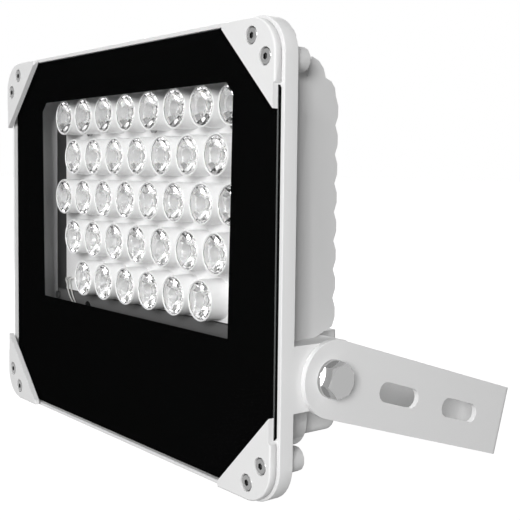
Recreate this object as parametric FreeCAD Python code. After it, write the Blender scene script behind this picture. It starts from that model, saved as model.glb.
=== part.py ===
import FreeCAD, Part
import math
import os

# Floodlight on a U-bracket, in millimetres. Each piece is built in lamp coordinates: X to the right
# seen from the front, Y into the lamp from the glass's front face, Z up from the glass's centre.
# At the end every piece is moved so that the origin is the bracket's centre hole.

# Glass, its black print and its seal
glass_half_x = 152.5
glass_half_z = 120.0
glass_thick = 4.0
glass_corner_leg = 34.0
glass_arris = 0.5
glass_side_gap = 0.3
print_thick = 0.15
window_top_side = 41.5
window_bottom_side = 44.2
window_top_drop = 28.0
window_high = 135.2
window_corner_leg = 6.0
gasket_width = 9.0
gasket_thick = 2.35

# Rim of the casting
rim_lip_wall = 2.3
rim_lip_y = 1.9
rim_rear_y = 11.2
rim_corner_r = 20.0
rim_front_chamfer = 1.3
rim_rear_chamfer = 0.8

# Tub behind the rim
tub_side_inset = 14.1
tub_top_inset = 18.0
tub_bottom_inset = 22.1
tub_corner_r = 15.0
tub_wall = 3.3
tub_rear_y = 32.0
floor_thick = 3.5
cavity_corner_r = 22.0

# Cooling fins
fin_count = 16
fin_thick = 2.5
fin_rear_y = 49.0
fin_shoulder_drop = 19.2
fin_foot_rise = 4.1
fin_mid_drop = 10.2
fin_mid_share = 0.57
fin_tail_drop = 6.8
scallop_count = 8
scallop_steps = 3
scallop_bulge = 2.1
shoulder_bulge = 2.4

# Driver box on the rear
box_side_inset = 9.0
box_bottom_inset = 4.7
box_top_rise = 0.9
box_rear_y = 62.3
box_wall = 3.0
box_top_slope = 1.6
box_edge_r = 6.0
box_side_r = 4.0

# Ears, pivot and bolts
pivot_y = 33.2
pivot_rise = 36.4
ear_up = 18.4
ear_down = 15.6
ear_rear_y = 47.5
ear_root = 2.0
ear_round = 3.0
bolt_r = 5.0
bolt_length = 20.0
bolt_head_flats = 16.6
bolt_head_high = 6.4
bolt_head_face_r = 8.0
washer_r = 10.0
washer_thick = 2.0
washer_hole_gap = 0.25
running_fit = 0.08
thread_fit = 0.05
plate_fit = 0.1
shank_sides = 6
head_sides = 12
washer_sides = 24

# U-bracket
arm_gap = 0.3
plate_thick = 3.0
arm_width = 41.0
arm_reach = 152.0
arm_end_offset = 2.2
arm_tilt = 17.3
bend_inner_r = 3.0
slot_long = 32.0
slot_wide = 11.0
slot_near = 53.0
slot_far = 106.5
slot_end_steps = 8
web_hole_r = 6.5
side_hole_r = 5.5
side_hole_x = 40.0

# Corner clamps and their screws
clamp_front_y = -3.4
clamp_inset = 1.3
clamp_step = 1.3
clamp_step_long = 12.0
clamp_line_inset = 44.3
clamp_end_inset_x = 42.8
clamp_end_inset_z = 44.2
clamp_corner_r = 19.0
clamp_chamfer = 0.9
clamp_foot_gap = 0.9
top_screw_inset_x = 17.3
top_screw_inset_z = 7.7
side_screw_inset_x = 6.3
side_screw_inset_z = 18.8
screw_r = 2.5
screw_head_r = 4.25
screw_head_high = 2.6
screw_head_sunk = 0.1
screw_recess_gap = 0.45
screw_socket_flats = 3.0
screw_socket_deep = 1.6
screw_length = 17.0
boss_r = 6.5
boss_sides = 12
boss_rear_y = 20.5
hole_end_gap = 0.3

# Lens array on its board
lens_row_counts = (8, 7, 8, 7, 6)
lens_pitch_x = 27.7
lens_pitch_z = 27.45
lens_top_drop = 10.0
lens_sides = 10
cup_r = 12.0
cup_wall = 0.7
cup_high = 13.9
optic_gap = 0.25
optic_sunk = 0.2
optic_rear_r = 4.5
optic_rear_gap = 0.9
chip_size = 3.5
chip_thick = 1.4
board_side_edge = 4.05
board_top_edge = 16.0
board_bottom_edge = 13.4
board_thick = 1.6
small_screw_r = 1.5
small_screw_head_r = 2.75
small_screw_head_high = 1.9
small_screw_length = 3.8

# Cover sheet over the driver
cover_side_gap = 2.6
cover_top_gap = 1.0
cover_bottom_gap = 0.9
cover_thick = 1.2
cover_screw_edge = 2.8
cover_screw_top_drop = 4.5
cover_screw_low_rise = 16.3
cover_corner_r = 20.0
lead_hole_r = 5.0

# Driver, terminal block and leads
driver_lead_margin = 5.0
driver_terminal_gap = 20.0
driver_low_gap = 5.8
driver_top_gap = 5.7
driver_deep = 22.3
driver_chamfer = 2.0
tab_long = 13.0
tab_half_z = 8.0
tab_thick = 2.0
driver_boss_r = 5.0
driver_boss_high = 7.0
terminal_side_gap = 50.0
terminal_long = 32.0
terminal_half_z = 9.0
terminal_deep = 14.3
terminal_ways = 3
terminal_mouth = 4.4
terminal_groove = 1.2
lead_r = 1.1
lead_sides = 6
lead_spread = 6.0
lead_tab_gap = 0.8
led_lead_r = 0.8
led_lead_pitch = 4.5
led_lead_offset = 5.95
led_lead_top_rise = 5.8
led_lead_low_drop = 3.0
led_lead_stand = 3.9
led_lead_bend = 2.2

# Cable gland under the driver box
gland_side_gap = 40.0
gland_rear_gap = 15.3
gland_thread_r = 8.0
gland_flats = 22.0
gland_flange = 4.5
gland_neck = 5.0
gland_neck_r = 8.6
gland_nut_high = 11.0
gland_seal_r = 5.4
gland_seal_sunk = 1.0
gland_cable_r = 3.5
gland_locknut_high = 4.0
gland_locknut_flats = 20.0
gland_thread_in = 8.0
gland_gap = 0.1
gland_sides = 16
gland_nut_chamfer = 3.0

# Places that follow from the sizes above
OVERRUN = 1.0
rim_half_x = glass_half_x + glass_side_gap + rim_lip_wall
rim_half_z = glass_half_z + glass_side_gap + rim_lip_wall
print_rear_y = glass_thick + print_thick
seat_y = print_rear_y + gasket_thick
window_top_z = glass_half_z - window_top_drop
window_bottom_z = window_top_z - window_high
tub_half_x = rim_half_x - tub_side_inset
tub_top_z = rim_half_z - tub_top_inset
tub_bottom_z = tub_bottom_inset - rim_half_z
floor_y = tub_rear_y - floor_thick
cavity_half_x = tub_half_x - tub_wall
cavity_top_z = tub_top_z - tub_wall
cavity_bottom_z = tub_bottom_z + tub_wall
board_y = floor_y - board_thick
cup_front_y = board_y - cup_high
lens_top_z = window_top_z - lens_top_drop
lens_low_z = lens_top_z - lens_pitch_z * (len(lens_row_counts) - 1)
lens_half_x = lens_pitch_x * (lens_row_counts[0] - 1) / 2
board_half_x = lens_half_x + cup_r + board_side_edge
board_top_z = lens_top_z + board_top_edge
board_bottom_z = lens_low_z - board_bottom_edge
box_half_x = tub_half_x - box_side_inset
box_top_z = board_bottom_z + box_top_rise
box_bottom_z = tub_bottom_z + box_bottom_inset
box_inner_y = box_rear_y - box_wall
box_inner_x = box_half_x - box_wall
fin_shoulder_z = tub_top_z - fin_shoulder_drop
fin_foot_z = box_top_z + fin_foot_rise
pivot_z = box_bottom_z + pivot_rise
arm_inner_x = rim_half_x + arm_gap
arm_outer_x = arm_inner_x + plate_thick
bolt_seat_x = arm_outer_x + washer_thick
top_screw = (glass_half_x - top_screw_inset_x, glass_half_z - top_screw_inset_z)
side_screw = (glass_half_x - side_screw_inset_x, glass_half_z - side_screw_inset_z)
screw_seat_y = clamp_front_y + screw_head_high + screw_head_sunk
cover_half_x = cavity_half_x - cover_side_gap
cover_top_z = board_bottom_z - cover_top_gap
cover_bottom_z = cavity_bottom_z + cover_bottom_gap
led_lead_x = (led_lead_offset - lens_half_x, led_lead_offset - lens_half_x + led_lead_pitch)
terminal_x = (box_inner_x - terminal_side_gap - terminal_long, box_inner_x - terminal_side_gap)
terminal_front_y = box_inner_y - terminal_deep
driver_x = (led_lead_x[0] - driver_lead_margin, terminal_x[0] - driver_terminal_gap)
driver_z = (box_bottom_z + box_wall + driver_low_gap, box_top_z - box_wall - driver_top_gap)
driver_front_y = box_inner_y - driver_deep
driver_middle_z = (driver_z[0] + driver_z[1]) / 2
driver_tab_y = box_inner_y - driver_boss_high - tab_thick
led_lead_front_y = board_y - led_lead_stand
led_lead_top_z = lens_low_z + led_lead_top_rise
led_lead_low_z = driver_z[1] - led_lead_low_drop
gland_x = box_half_x - gland_side_gap
gland_y = box_rear_y - gland_rear_gap
tilt = math.radians(arm_tilt)
shift = FreeCAD.Vector(0, -(pivot_y + arm_reach * math.cos(tilt)), -(pivot_z - arm_reach * math.sin(tilt)))


def vec(x, y, z):
    """Return a point."""
    return FreeCAD.Vector(x, y, z)


def prism_y(outline, y0, y1):
    """Extrude an outline of (x, z) points or a wire drawn at Y 0 from y0 to y1."""
    wire = outline
    if isinstance(outline, (list, tuple)):
        corners = [vec(x, 0, z) for x, z in outline]
        wire = Part.makePolygon(corners + corners[:1])
    solid = Part.Face(wire).extrude(vec(0, y1 - y0, 0))
    solid.translate(vec(0, y0, 0))
    return solid


def prism_x(points, x0, x1):
    """Extrude a straight-sided (y, z) outline from x0 to x1."""
    corners = [vec(x0, y, z) for y, z in points]
    return Part.Face(Part.makePolygon(corners + corners[:1])).extrude(vec(x1 - x0, 0, 0))


def block(x, y, z):
    """Return a box from three (low, high) pairs."""
    return Part.makeBox(x[1] - x[0], y[1] - y[0], z[1] - z[0], vec(x[0], y[0], z[0]))


def rod(radius, start, end):
    """Return a cylinder between two points."""
    run = vec(*end) - vec(*start)
    return Part.makeCylinder(radius, run.Length, vec(*start), run)


def rounded_outline(half_x, z_low, z_high, radius):
    """Return a rounded rectangle, centred on X, as a wire at Y 0."""
    k = radius * (1 - math.sqrt(0.5))
    x1, x0 = half_x, -half_x
    edges = []
    corners = ((x1, z_high, 1, 1), (x0, z_high, -1, 1), (x0, z_low, -1, -1), (x1, z_low, 1, -1))
    ends = []
    for i, (x, z, sx, sz) in enumerate(corners):
        side = vec(x, 0, z - sz * radius)
        level = vec(x - sx * radius, 0, z)
        middle = vec(x - sx * k, 0, z - sz * k)
        first, last = (side, level) if i % 2 == 0 else (level, side)
        edges.append(Part.Arc(first, middle, last).toShape())
        ends.append((first, last))
    for i in range(4):
        edges.append(Part.makeLine(ends[i][1], ends[(i + 1) % 4][0]))
    return Part.Wire(Part.__sortEdges__(edges))


def cut_corner_outline(grow):
    """Return the glass's eight-sided outline, moved out by a distance."""
    x = glass_half_x + grow
    z = glass_half_z + grow
    leg = glass_corner_leg + grow * (2 - math.sqrt(2))
    quarter = [(x, z - leg), (x - leg, z)]
    mirrored = [(-a, b) for a, b in reversed(quarter)]
    upper = quarter + mirrored
    return upper + [(-a, -b) for a, b in upper]


def hexagon_x(flats, x0, x1, y, z):
    """Return a hexagonal prism along X with a corner up and down."""
    r = flats / math.sqrt(3)
    turns = [math.radians(60 * i) for i in range(6)]
    return prism_x([(y + r * math.sin(turn), z + r * math.cos(turn)) for turn in turns], x0, x1)


def hexagon_z(flats, z0, z1, x, y):
    """Return a hexagonal prism along Z."""
    r = flats / math.sqrt(3)
    turns = [math.radians(60 * i) for i in range(6)]
    points = [vec(x + r * math.cos(turn), y + r * math.sin(turn), z0) for turn in turns]
    return Part.Face(Part.makePolygon(points + points[:1])).extrude(vec(0, 0, z1 - z0))


def many_rod(sides, radius, start, end):
    """Return a many-sided bar between two points on a line along X, Y or Z."""
    run = vec(*end) - vec(*start)
    u = vec(0, 1, 0) if abs(run.x) > 0 else vec(1, 0, 0)
    v = vec(0, 1, 0) if abs(run.z) > 0 else vec(0, 0, 1)
    points = []
    for i in range(sides):
        angle = 2 * math.pi * (i + 0.5) / sides
        points.append(vec(*start) + u * (radius * math.cos(angle)) + v * (radius * math.sin(angle)))
    return Part.Face(Part.makePolygon(points + points[:1])).extrude(run)


def regular(sides, radius, y, x, z):
    """Return a regular polygon wire facing Y, with its flats' middle on the radius's mean circle."""
    turn = math.pi / sides
    points = [vec(x + radius * math.cos(2 * math.pi * i / sides + turn), y,
                  z + radius * math.sin(2 * math.pi * i / sides + turn)) for i in range(sides)]
    return Part.makePolygon(points + points[:1])


def frustum(front_r, front_y, rear_r, rear_y, x, z):
    """Return a many-sided taper with flat sides between two depths."""
    front = regular(lens_sides, front_r, front_y, x, z)
    rear = regular(lens_sides, rear_r, rear_y, x, z)
    a = [edge.Vertexes[0].Point for edge in front.Edges]
    b = [edge.Vertexes[0].Point for edge in rear.Edges]
    faces = [Part.Face(front), Part.Face(rear)]
    for i in range(lens_sides):
        j = (i + 1) % lens_sides
        faces.append(Part.Face(Part.makePolygon([a[i], a[j], b[j], b[i], a[i]])))
    solid = Part.Solid(Part.Shell(faces))
    return solid if solid.Volume > 0 else solid.reversed()


def group(solids):
    """Return separate solids as one compound."""
    return Part.makeCompound(solids)


def lens_places():
    """Return the (x, z) centre of every lens, row by row from the top."""
    places = []
    for row, count in enumerate(lens_row_counts):
        z = lens_top_z - lens_pitch_z * row
        for column in range(count):
            places.append(((column - (count - 1) / 2) * lens_pitch_x, z))
    return places


def board_screw_places():
    """Return the board screws' places, each in the gap between three neighbouring lenses."""
    half = lens_pitch_x / 2
    drop = (lens_pitch_z ** 2 - half ** 2) / (2 * lens_pitch_z)
    upper = lens_top_z - drop
    lower = lens_top_z - lens_pitch_z * 2 - drop
    return [(x * lens_pitch_x, z) for z in (upper, lower) for x in (-3, 0, 3)]


def corner_signs():
    """Return each corner's name and its signs along X and Z."""
    return (("top_left", -1, 1), ("top_right", 1, 1), ("bottom_left", -1, -1), ("bottom_right", 1, -1))


def round_edges(solid, radius, chosen):
    """Fillet the edges that a test on the edge picks."""
    return solid.makeFillet(radius, [e for e in solid.Edges if chosen(e)])


def lies_at_y(edge, y):
    """Tell whether all of an edge is at one depth."""
    box = edge.BoundBox
    return abs(box.YMin - y) < 0.01 and abs(box.YMax - y) < 0.01


def rim_plate():
    """Return the rim before its recess is cut."""
    outline = rounded_outline(rim_half_x, -rim_half_z, rim_half_z, rim_corner_r)
    plate = prism_y(outline, rim_lip_y, rim_rear_y)
    plate = plate.makeChamfer(rim_front_chamfer, [e for e in plate.Edges if lies_at_y(e, rim_lip_y)])
    return plate.makeChamfer(rim_rear_chamfer, [e for e in plate.Edges if lies_at_y(e, rim_rear_y)])


def bulged_chain(a, b, bulge):
    """Return short edges from a to b along the arc that stands out from their chord, to the fins' rear."""
    along = b - a
    out = vec(0, -along.z, along.y).normalize()
    arc = Part.Arc(a, (a + b) * 0.5 + out * bulge, b)
    points = arc.discretize(scallop_steps + 1)
    return [Part.makeLine(p, q) for p, q in zip(points, points[1:])]


def fin_side():
    """Return one fin's side face at X 0, its rear edge a chain of convex arcs."""
    mid = (tub_rear_y + (fin_rear_y - tub_rear_y) * fin_mid_share, tub_top_z - fin_mid_drop)
    cusps = [(tub_rear_y, tub_top_z), mid, (fin_rear_y, fin_shoulder_z)]
    pitch = (fin_shoulder_z - fin_foot_z) / scallop_count
    cusps += [(fin_rear_y, fin_shoulder_z - pitch * (i + 1)) for i in range(scallop_count)]
    edges = []
    for i, (a, b) in enumerate(zip(cusps, cusps[1:])):
        bulge = shoulder_bulge if i < 2 else scallop_bulge
        edges += bulged_chain(vec(0, *a), vec(0, *b), bulge)
    tail = (tub_rear_y, fin_foot_z - fin_tail_drop)
    root_y = floor_y + OVERRUN
    inner = [cusps[-1], tail, (root_y, tail[1]), (root_y, tub_top_z - tub_wall), cusps[0]]
    for a, b in zip(inner, inner[1:]):
        edges.append(Part.makeLine(vec(0, *a), vec(0, *b)))
    return Part.Face(Part.Wire(edges))


def fins():
    """Return the row of fins, the outer two flush with the tub's sides."""
    side = fin_side()
    pitch = (2 * tub_half_x - fin_thick) / (fin_count - 1)
    row = []
    for i in range(fin_count):
        fin = side.extrude(vec(fin_thick, 0, 0))
        fin.translate(vec(-tub_half_x + pitch * i, 0, 0))
        row.append(fin)
    return row


def driver_box():
    """Return the outside of the driver box."""
    points = [(floor_y, box_bottom_z), (box_rear_y, box_bottom_z), (box_rear_y, box_top_z - box_edge_r),
              (box_rear_y - box_top_slope, box_top_z), (floor_y, box_top_z)]
    box = prism_x(points, -box_half_x, box_half_x)
    foot_z = box_bottom_z + OVERRUN
    box = round_edges(box, box_edge_r, lambda e: lies_at_y(e, box_rear_y) and e.BoundBox.ZMax < foot_z)
    return round_edges(box, box_side_r, lambda e: is_upright(e) and e.BoundBox.YMin > tub_rear_y)


def is_upright(edge):
    """Tell whether an edge on the driver box's side runs mostly along Z."""
    box = edge.BoundBox
    return abs(box.XMin - box.XMax) < 0.01 and box.ZLength > box.YLength and box.ZLength > box_edge_r


def ear(side):
    """Return the solid ear that carries one pivot bolt."""
    x = sorted((side * (box_half_x - ear_root), side * rim_half_x))
    body = block(x, (rim_rear_y - OVERRUN, ear_rear_y), (pivot_z - ear_down, pivot_z + ear_up))
    return round_edges(body, ear_round, lambda e: lies_at_y(e, ear_rear_y) and e.BoundBox.XLength > ear_round)


def housing():
    """Return the one-piece casting: rim, tub, fins, driver box, ears and bosses."""
    tub = prism_y(rounded_outline(tub_half_x, tub_bottom_z, tub_top_z, tub_corner_r), seat_y, tub_rear_y)
    parts = [tub, driver_box(), ear(-1), ear(1)] + fins()
    for _, sx, sz in corner_signs():
        for x, z in (top_screw, side_screw):
            start = (sx * x, rim_rear_y - OVERRUN, sz * z)
            parts.append(many_rod(boss_sides, boss_r, start, (sx * x, boss_rear_y, sz * z)))
    body = rim_plate().multiFuse(parts)
    cuts = [prism_y(cut_corner_outline(glass_side_gap), rim_lip_y - OVERRUN, seat_y)]
    inside = rounded_outline(cavity_half_x, cavity_bottom_z, cavity_top_z, cavity_corner_r)
    cuts.append(prism_y(inside, seat_y - OVERRUN, floor_y))
    cuts.append(driver_cavity())
    cuts += housing_holes()
    body = body.cut(cuts)
    return body.removeSplitter()


def driver_cavity():
    """Return the hollow of the driver box, less the bosses that stand in it."""
    hollow = block((-box_inner_x, box_inner_x), (floor_y - OVERRUN, box_inner_y),
                   (box_bottom_z + box_wall, box_top_z - box_wall))
    bosses = [rod(driver_boss_r, (x, box_inner_y - driver_boss_high, z), (x, box_inner_y + OVERRUN, z))
              for x, z in driver_screw_places()]
    return hollow.cut(bosses)


def driver_screw_places():
    """Return the two driver screws' places."""
    return [(x, driver_middle_z) for x in (driver_x[0] - tab_long / 2, driver_x[1] + tab_long / 2)]


def housing_holes():
    """Return the casting's screw holes, pivot holes and cable hole."""
    holes = []
    for _, sx, sz in corner_signs():
        for x, z in (top_screw, side_screw):
            start = (sx * x, rim_lip_y - OVERRUN, sz * z)
            end = (sx * x, boss_rear_y - OVERRUN, sz * z)
            holes.append(many_rod(shank_sides, screw_r + thread_fit, start, end))
    deep = small_screw_length - cover_thick + hole_end_gap
    for x, z in board_screw_places() + cover_screw_places():
        start = (x, floor_y - OVERRUN, z)
        holes.append(many_rod(shank_sides, small_screw_r + thread_fit, start, (x, floor_y + deep, z)))
    driver_hole_y = box_inner_y - driver_boss_high
    for x, z in driver_screw_places():
        start = (x, driver_hole_y - OVERRUN, z)
        holes.append(many_rod(shank_sides, small_screw_r + thread_fit, start, (x, driver_hole_y + deep, z)))
    for side in (-1, 1):
        start = (side * (rim_half_x + OVERRUN), pivot_y, pivot_z)
        end = (side * (bolt_seat_x - bolt_length - OVERRUN), pivot_y, pivot_z)
        holes.append(rod(bolt_r + thread_fit, start, end))
    low = (gland_x, gland_y, box_bottom_z - OVERRUN)
    high = (gland_x, gland_y, box_bottom_z + box_wall + OVERRUN)
    holes.append(many_rod(gland_sides, gland_thread_r + thread_fit, low, high))
    return holes


def cover_screw_places():
    """Return the cover sheet's four screws' places."""
    x = cover_half_x - cover_screw_edge
    heights = (cover_top_z - cover_screw_top_drop, cover_bottom_z + cover_screw_low_rise)
    return [(side * x, z) for side in (-1, 1) for z in heights]


def glass_pane():
    """Return the glass with cut corners and a fine arris round its front."""
    pane = prism_y(cut_corner_outline(0), 0, glass_thick)
    return pane.makeChamfer(glass_arris, [e for e in pane.Edges if lies_at_y(e, 0)])


def print_border():
    """Return the black print on the glass's rear face, with its window."""
    top, low = window_top_z, window_bottom_z
    wide = glass_half_x - window_top_side
    narrow = glass_half_x - window_bottom_side
    right = [(narrow, low), (wide, top - window_corner_leg), (wide - window_corner_leg, top)]
    window = right + [(-x, z) for x, z in reversed(right)]
    sheet = prism_y(cut_corner_outline(0), glass_thick, print_rear_y)
    return sheet.cut(prism_y(window, glass_thick - OVERRUN, print_rear_y + OVERRUN))


def sealing_gasket():
    """Return the flat rubber ring between the glass and the rim's seat."""
    ring = prism_y(cut_corner_outline(0), print_rear_y, seat_y)
    return ring.cut(prism_y(cut_corner_outline(-gasket_width), print_rear_y - OVERRUN, seat_y + OVERRUN))


def clamp_outline():
    """Return the top right clamp's outline, with its stepped foot and round corner, as a wire."""
    x = rim_half_x - clamp_inset
    z = rim_half_z - clamp_inset
    end_x = glass_half_x - clamp_end_inset_x
    end_z = glass_half_z - clamp_end_inset_z
    line = glass_half_x + glass_half_z - clamp_line_inset
    step_z = end_z + clamp_step_long
    step_x = x - clamp_step
    r = clamp_corner_r
    k = r * (1 - math.sqrt(0.5))
    low = vec(line - end_z, 0, end_z)
    path = [low, vec(step_x, 0, end_z), vec(step_x, 0, step_z), vec(x, 0, step_z + clamp_step)]
    path.append(vec(x, 0, z - r))
    edges = [Part.makeLine(a, b) for a, b in zip(path, path[1:])]
    edges.append(Part.Arc(path[-1], vec(x - k, 0, z - k), vec(x - r, 0, z)).toShape())
    end = [vec(x - r, 0, z), vec(end_x, 0, z), vec(end_x, 0, line - end_x), low]
    edges += [Part.makeLine(a, b) for a, b in zip(end, end[1:])]
    return Part.Wire(edges)


def clamp_body():
    """Return the top right clamp: a rounded plate on the glass with a foot on the casting's corner."""
    plate = prism_y(clamp_outline(), clamp_front_y, 0)
    outer_edges = [e for e in plate.Edges if lies_at_y(e, clamp_front_y) and on_clamp_rim(e)]
    plate = plate.makeChamfer(clamp_chamfer, outer_edges)
    foot = prism_y(clamp_outline(), 0, rim_lip_y)
    line = glass_half_x + glass_half_z - glass_corner_leg + clamp_foot_gap * math.sqrt(2)
    far = rim_half_x + rim_half_z
    beyond = prism_y([(line - far, far), (far, line - far), (far, far)], -OVERRUN, rim_lip_y + OVERRUN)
    foot = foot.common(beyond)
    body = plate.fuse(foot).removeSplitter()
    for x, z in (top_screw, side_screw):
        front = (x, clamp_front_y - OVERRUN, z)
        recess = many_rod(head_sides, screw_head_r + screw_recess_gap, front, (x, screw_seat_y, z))
        hole = many_rod(shank_sides, screw_r + screw_recess_gap, front, (x, rim_lip_y + OVERRUN, z))
        body = body.cut([recess, hole])
    return body


def on_clamp_rim(edge):
    """Tell whether a clamp's edge is on its long outer sides or its round corner."""
    box = edge.BoundBox
    middle = box.Center
    on_top = middle.z > rim_half_z - clamp_inset - clamp_corner_r / 2
    on_side = middle.x > rim_half_x - clamp_inset - clamp_corner_r / 2
    return on_top or (on_side and box.ZLength > clamp_step_long + clamp_step)


def mirrored_corner(shape, sx, sz):
    """Return a top right shape moved to another corner by mirroring."""
    if sx < 0:
        shape = shape.mirror(vec(0, 0, 0), vec(1, 0, 0))
    if sz < 0:
        shape = shape.mirror(vec(0, 0, 0), vec(0, 0, 1))
    return shape


def clamp_screws():
    """Return the eight socket-headed clamp screws."""
    front = screw_seat_y - screw_head_high
    screws = []
    for _, sx, sz in corner_signs():
        for x, z in (top_screw, side_screw):
            seat = (sx * x, screw_seat_y, sz * z)
            head = many_rod(head_sides, screw_head_r, (sx * x, front, sz * z), seat)
            shank = many_rod(shank_sides, screw_r, seat, (sx * x, screw_seat_y + screw_length, sz * z))
            face = Part.Face(regular(6, screw_socket_flats / math.sqrt(3), front, sx * x, sz * z))
            socket = face.extrude(vec(0, screw_socket_deep, 0))
            screws.append(head.fuse(shank).cut(socket))
    return group(screws)


def small_screw(x, seat, z):
    """Return a small flat-headed screw whose head sits on a face at the given depth."""
    head = many_rod(head_sides, small_screw_head_r, (x, seat - small_screw_head_high, z), (x, seat, z))
    return head.fuse(many_rod(shank_sides, small_screw_r, (x, seat, z), (x, seat + small_screw_length, z)))


def led_board():
    """Return the white-faced board with its screw holes."""
    board = block((-board_half_x, board_half_x), (board_y, floor_y), (board_bottom_z, board_top_z))
    ends = (board_y - OVERRUN, floor_y + OVERRUN)
    holes = [many_rod(shank_sides, small_screw_r + plate_fit, (x, ends[0], z), (x, ends[1], z))
             for x, z in board_screw_places()]
    return board.cut(holes)


def led_chips():
    """Return the light sources, one under each lens."""
    half = chip_size / 2
    return group([block((x - half, x + half), (board_y - chip_thick, board_y), (z - half, z + half))
                  for x, z in lens_places()])


def lens_cups():
    """Return the white cups that hold the lenses, as many-sided tubes standing on the board."""
    cups = []
    for x, z in lens_places():
        outer = Part.Face(regular(lens_sides, cup_r, cup_front_y, x, z))
        inner = Part.Face(regular(lens_sides, cup_r - cup_wall, cup_front_y, x, z))
        cups.append(outer.cut(inner).extrude(vec(0, board_y - cup_front_y, 0)))
    return group(cups)


def lens_optics():
    """Return the clear lenses, each a flat-sided cone from its wide front down to the light source."""
    r = cup_r - cup_wall - optic_gap
    front_y = cup_front_y + optic_sunk
    rear_y = board_y - chip_thick - optic_rear_gap
    return group([frustum(r, front_y, optic_rear_r, rear_y, x, z) for x, z in lens_places()])


def cover_sheet():
    """Return the thin sheet over the driver, with a hole for the board's leads."""
    high = cover_top_z + cover_corner_r + OVERRUN
    outline = rounded_outline(cover_half_x, cover_bottom_z, high, cover_corner_r)
    sheet = prism_y(outline, floor_y - cover_thick, floor_y)
    reach = cover_half_x + OVERRUN
    front = floor_y - cover_thick - OVERRUN
    sheet = sheet.cut(block((-reach, reach), (front, tub_rear_y), (cover_top_z, high + OVERRUN)))
    holes = [many_rod(shank_sides, small_screw_r + plate_fit, (x, front, z), (x, floor_y + OVERRUN, z))
             for x, z in cover_screw_places()]
    x = sum(led_lead_x) / 2
    start = (x, front, led_lead_low_z)
    holes.append(many_rod(washer_sides, lead_hole_r, start, (x, floor_y + OVERRUN, led_lead_low_z)))
    return sheet.cut(holes)


def driver():
    """Return the driver with a fixing tab at each end."""
    body = block(driver_x, (driver_front_y, box_inner_y), driver_z)
    body = body.makeChamfer(driver_chamfer, [e for e in body.Edges if lies_at_y(e, driver_front_y)])
    tabs = block((driver_x[0] - tab_long, driver_x[1] + tab_long), (driver_tab_y, driver_tab_y + tab_thick),
                 (driver_middle_z - tab_half_z, driver_middle_z + tab_half_z))
    ends = (driver_tab_y - OVERRUN, box_inner_y)
    holes = [many_rod(shank_sides, small_screw_r + plate_fit, (x, ends[0], z), (x, ends[1], z))
             for x, z in driver_screw_places()]
    return body.fuse(tabs).cut(holes).removeSplitter()


def driver_screws():
    """Return the driver's two screws."""
    return group([small_screw(x, driver_tab_y, z) for x, z in driver_screw_places()])


def terminal_block():
    """Return the terminal block, with a wire hole and a screw well for each way."""
    z = driver_middle_z
    body = block(terminal_x, (terminal_front_y, box_inner_y), (z - terminal_half_z, z + terminal_half_z))
    pitch = (terminal_x[1] - terminal_x[0]) / terminal_ways
    middle_y = (terminal_front_y + box_inner_y) / 2
    cuts = []
    for i in range(terminal_ways):
        x = terminal_x[0] + pitch * (i + 0.5)
        half = terminal_mouth / 2
        ends = (z - terminal_half_z - OVERRUN, z + terminal_half_z + OVERRUN)
        cuts.append(block((x - half, x + half), (middle_y - half, middle_y + half), ends))
        cuts.append(block((x - half, x + half), (terminal_front_y - OVERRUN, middle_y), (z - half, z + half)))
    for i in range(terminal_ways - 1):
        x = terminal_x[0] + pitch * (i + 1)
        half = terminal_groove / 2
        cuts.append(block((x - half, x + half), (terminal_front_y - OVERRUN, middle_y), ends))
    return body.cut(cuts)


def supply_leads():
    """Return the two straight leads between the driver and the terminal block."""
    y = driver_tab_y - lead_r - lead_tab_gap
    heights = (driver_middle_z - lead_spread, driver_middle_z + lead_spread)
    return [many_rod(lead_sides, lead_r, (driver_x[1], y, z), (terminal_x[0], y, z)) for z in heights]


def bent_lead(x):
    """Return one lead from the board's face, over its edge and down to the driver."""
    b = led_lead_bend
    k = b * (1 - math.sqrt(0.5))
    front, top, low = led_lead_front_y, led_lead_top_z, led_lead_low_z
    path = [Part.makeLine(vec(x, board_y, top), vec(x, front + b, top)),
            Part.Arc(vec(x, front + b, top), vec(x, front + k, top - k), vec(x, front, top - b)).toShape(),
            Part.makeLine(vec(x, front, top - b), vec(x, front, low + b)),
            Part.Arc(vec(x, front, low + b), vec(x, front + k, low + k), vec(x, front + b, low)).toShape(),
            Part.makeLine(vec(x, front + b, low), vec(x, driver_front_y, low))]
    ring = regular(lead_sides, led_lead_r, board_y, x, top)
    return Part.Wire(path).makePipeShell([ring], True, False)


def pivot_bolts():
    """Return the two pivot bolts, hexagon head outwards."""
    bolts = []
    for side in (-1, 1):
        outer = bolt_seat_x + bolt_head_high
        seat = (side * bolt_seat_x, pivot_y, pivot_z)
        head = hexagon_x(bolt_head_flats, side * bolt_seat_x, side * outer, pivot_y, pivot_z)
        base_r = bolt_head_face_r + bolt_head_high * math.sqrt(3)
        cone = Part.makeCone(base_r, bolt_head_face_r, bolt_head_high, vec(*seat), vec(side, 0, 0))
        shank = rod(bolt_r, seat, (side * (bolt_seat_x - bolt_length), pivot_y, pivot_z))
        bolts.append(head.common(cone).fuse(shank))
    return group(bolts)


def flat_washers():
    """Return the two flat washers under the bolt heads."""
    washers = []
    for side in (-1, 1):
        start = (side * arm_outer_x, pivot_y, pivot_z)
        end = (side * bolt_seat_x, pivot_y, pivot_z)
        hole = many_rod(washer_sides, bolt_r + washer_hole_gap, start, end)
        washers.append(many_rod(washer_sides, washer_r, start, end).cut(hole))
    return group(washers)


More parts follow.
